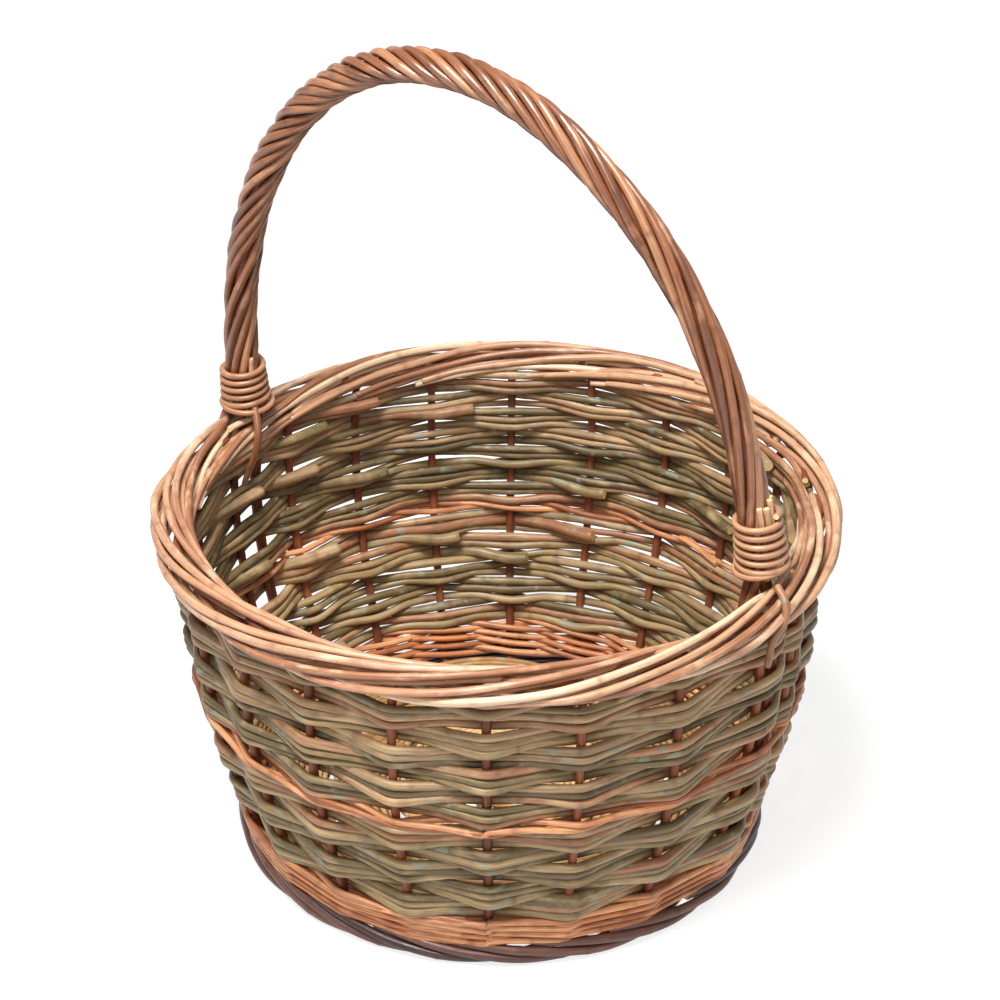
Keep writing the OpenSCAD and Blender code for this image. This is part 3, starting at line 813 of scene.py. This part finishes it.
def leg_line(side, offset, low):
    """Down the wall beside the foot's stake: side is -1 left or 1 right."""
    return [np.array([side * stake_circle(z), offset, float(z)])
            for z in np.linspace(BODY_TOP - 18, low, 7)]


def slim(a):
    """How far the rope narrows and leans in towards the right foot, where the pegs stand."""
    return np.clip((np.asarray(a, float) - 150) / 24, 0, 1) ** 2


def handle():
    bow = Rods("bow_rods", None)
    arch = bow_point(np.linspace(2, 172, 120))
    bow.add(arch, (4.7, 4.7, 4.7, 4.7, 4.2), sides=14, tint=0.3)
    for side in (-1, 1):
        foot_point = bow_point(2 if side < 0 else 178)
        for offset in (-1.9, 1.9):
            line = [foot_point + [0, offset, 6.0], foot_point + [0, offset, -2.0]]
            line += leg_line(side, offset, 24)
            bow.add(spline(line), (2.6, 1.95, 1.8), tint=0.35)
    bow.piece(STAKE_BARK, ["handle_bow"], "dark_willow")
    ends = {0: [], 1: []}
    left, right = bow_point(0.0), bow_point(180.0)
    # Below the collars some of the rope's rods part, and go down inside and outside the border.
    ends[0].append([left + [-7.5, -2, 13], left + [-10.5, -4, 4], left + [-12.0, -9, -5],
                    left + [-9.0, -14, -15], left + [-2, -17, -27]])
    ends[0].append([left + [8, -5, 12], left + [13.5, -9, 4], left + [17, -13, -6],
                    left + [15.5, -15, -18], left + [10, -16, -32], left + [5, -16, -48]])
    ends[1].append([right + [-4, -5, 10], right + [-6, -7, -2], right + [-7.5, -8, -14],
                    right + [-7, -9, -28], right + [-2, -9, -46]])
    ends[1].append([right + [1, -6, 9], right + [-1, -8, -2], right + [-3.5, -10.5, -14],
                    right + [-4, -12, -28], right + [0, -13, -46]])
    for i in range(STRAND_COUNT):
        rods = Rods(f"handle_strand_{i + 1}_rod", None)
        rng = rods.rng
        a = np.linspace(0.6, 179.4, 420)
        loose = wobble(rng, 800, len(a), 90, 4.0)
        swell = ROPE_R * (1 - 0.14 * slim(a)) + wobble(rng, 800, len(a), 60, 0.16)
        turn = 360 * i / STRAND_COUNT + rope_angle(a) + loose
        radius = STRAND_R * rng.uniform(0.94, 1.05)
        path = spiral(a, swell, turn) - bow_frame(a)[1] * 2.6 * slim(a)[:, None]
        rods.add(path, (radius, radius * 0.97), sides=12, spacing=2.2)
        for line in ends.get(i, []):
            rods.add(spline(line), (2.5, 2.2, 1.9), sides=10)
        rods.piece(HANDLE_BARK, [f"handle_strand_{i + 1}"], "handle_willow")


COLLAR_R = ROPE_R + STRAND_R + 0.2 + WRAP_R
COLLAR_FLARE = 1.8
# For each side, where on the bow the collar starts, how far it reaches and its turns
COLLAR_LEFT = (2.0, 5.2, 5)
COLLAR_RIGHT = (2.5, 6.4, 6)


def collar(name, node, mirror):
    """A thin rod wound round the rope. Its first turn is loose and starts in the border."""
    rods = Rods(name, None)
    rng = rods.rng
    begin, span, turns = COLLAR_RIGHT if mirror else COLLAR_LEFT
    f = np.linspace(0, 1, turns * 44)
    a = begin + span * f
    r = COLLAR_R + COLLAR_FLARE * (1 - f) ** 2 + wobble(rng, 600, len(f), 40, 0.12)
    turn = 360 * turns * f
    g = np.linspace(-1, 0, 44)[:-1]
    loose = 0.5 - 0.5 * np.cos(TAU * g)
    a = np.concatenate([begin - 0.7 * loose, a])
    r = np.concatenate([COLLAR_R + COLLAR_FLARE + 1.4 * loose, r])
    turn = np.concatenate([360 * g, turn])
    a = 180 - a if mirror else a
    wrap = spiral(a, r, turn)
    rods.add(wrap, (WRAP_R * 0.95, WRAP_R), sides=10, spacing=2.0)
    rods.piece(COLLAR_BARK, [node], "border_willow")


def pegs():
    """Ends of the rods that are driven down beside the rope, through the collars."""
    rods = Rods("cut_end_rods", None)
    for side_a, turns, reach in ((180.0, (-40, -12, 16, 44), sum(COLLAR_RIGHT[:2])),
                                 (0.0, (165,), sum(COLLAR_LEFT[:2]))):
        for turn in turns:
            up = np.linspace(1.2, reach + rods.rng.uniform(0.9, 1.9), 12)
            a = np.abs(side_a - up)
            line = spiral(a, np.full(12, COLLAR_R - WRAP_R - 1.75), np.full(12, float(turn)))
            rods.add(line, 1.75, knots=False)
    rods.piece(BORDER_BARK, ["collar_cut_ends"], "cut_willow")


# ---------------------------------------------------------------- the basket

side_stakes()
foot()
base_sticks()
base_tie()
base_weave("base_weave_inner", 34, 65)
base_weave("base_weave_middle", 65.3, 99)
base_weave("base_weave_outer", 99.3, 138.0)
for i in range(1, 5):
    wale_round(f"upsett_wale_{i}", 1.8, 2.0, i)
for i in range(1, 6):
    slew_course(f"slew_lower_{i}", i)
for i in range(1, 7):
    slew_course(f"slew_upper_{i}", i + 5)
right_foot = bow_point(180.0)
slew_course("slew_upper_7", 12, [([right_foot + [13, -9, 2], right_foot + [20.5, -13, -3],
                                   right_foot + [22, -16, -13], right_foot + [17, -18, -25],
                                   right_foot + [15, -19, -40]], (2.2, 1.9))])
wale_round("mid_wale", 1.75, 1.6, 1, WAVE)
border()
handle()
collar("collar_left_rod", "collar_left", False)
collar("collar_right_rod", "collar_right", True)
pegs()


# ---------------------------------------------------------------- floor, light and camera

def floor():
    mesh = bpy.data.meshes.new("floor")
    s = 6.0
    mesh.from_pydata([(-s, -s, 0), (s, -s, 0), (s, s, 0), (-s, s, 0)], [], [(0, 1, 2, 3)])
    t = Tree("floor")
    t.shader.inputs["Base Color"].default_value = (0.22, 0.22, 0.22, 1)
    t.shader.inputs["Roughness"].default_value = 0.9
    t.shader.inputs["Emission Color"].default_value = (1, 1, 1, 1)
    t.shader.inputs["Emission Strength"].default_value = 0.8
    mesh.materials.append(t.material)
    obj = bpy.data.objects.new("floor", mesh)
    bpy.context.scene.collection.objects.link(obj)


def area_light(name, place, target, size, watts, colour=(1, 1, 1)):
    data = bpy.data.lights.new(name, "AREA")
    data.shape = "DISK"
    data.size = size
    data.energy = watts
    data.color = colour
    obj = bpy.data.objects.new(name, data)
    bpy.context.scene.collection.objects.link(obj)
    aim(obj, place, target)


def aim(obj, place, target):
    place, target = np.array(place, float), np.array(target, float)
    obj.location = place
    back = unit(place - target)
    side = unit(np.cross([0, 0, 1.0], back))
    up = np.cross(back, side)
    obj.rotation_euler = Matrix(np.column_stack([side, up, back]).tolist()).to_euler()


def lights():
    world = bpy.data.worlds.new("studio")
    bpy.context.scene.world = world
    world.use_nodes = True
    world.node_tree.nodes["Background"].inputs[0].default_value = (1, 1, 1, 1)
    world.node_tree.nodes["Background"].inputs[1].default_value = 0.43
    area_light("top", (0.1, -0.75, 2.1), (0, 0, 0.12), 0.7, 78, (1, 0.985, 0.96))
    area_light("front", (0.7, -1.4, 1.6), (0, 0, 0.2), 1.0, 10, (1, 0.99, 0.97))


def camera():
    azimuth, elevation, distance = math.radians(33.5), math.radians(29.87), 1.66
    target = np.array([0, 0, BODY_TOP * METRE])
    place = target + distance * np.array([
        math.sin(azimuth) * math.cos(elevation), -math.cos(azimuth) * math.cos(elevation),
        math.sin(elevation)])
    data = bpy.data.cameras.new("camera")
    data.lens = 108
    data.sensor_width = 36
    data.shift_x = -0.0004
    data.shift_y = -0.0052
    obj = bpy.data.objects.new("camera", data)
    bpy.context.scene.collection.objects.link(obj)
    aim(obj, place, target)
    bpy.context.scene.camera = obj


floor()
lights()
camera()
bpy.context.scene.view_settings.view_transform = "Standard"
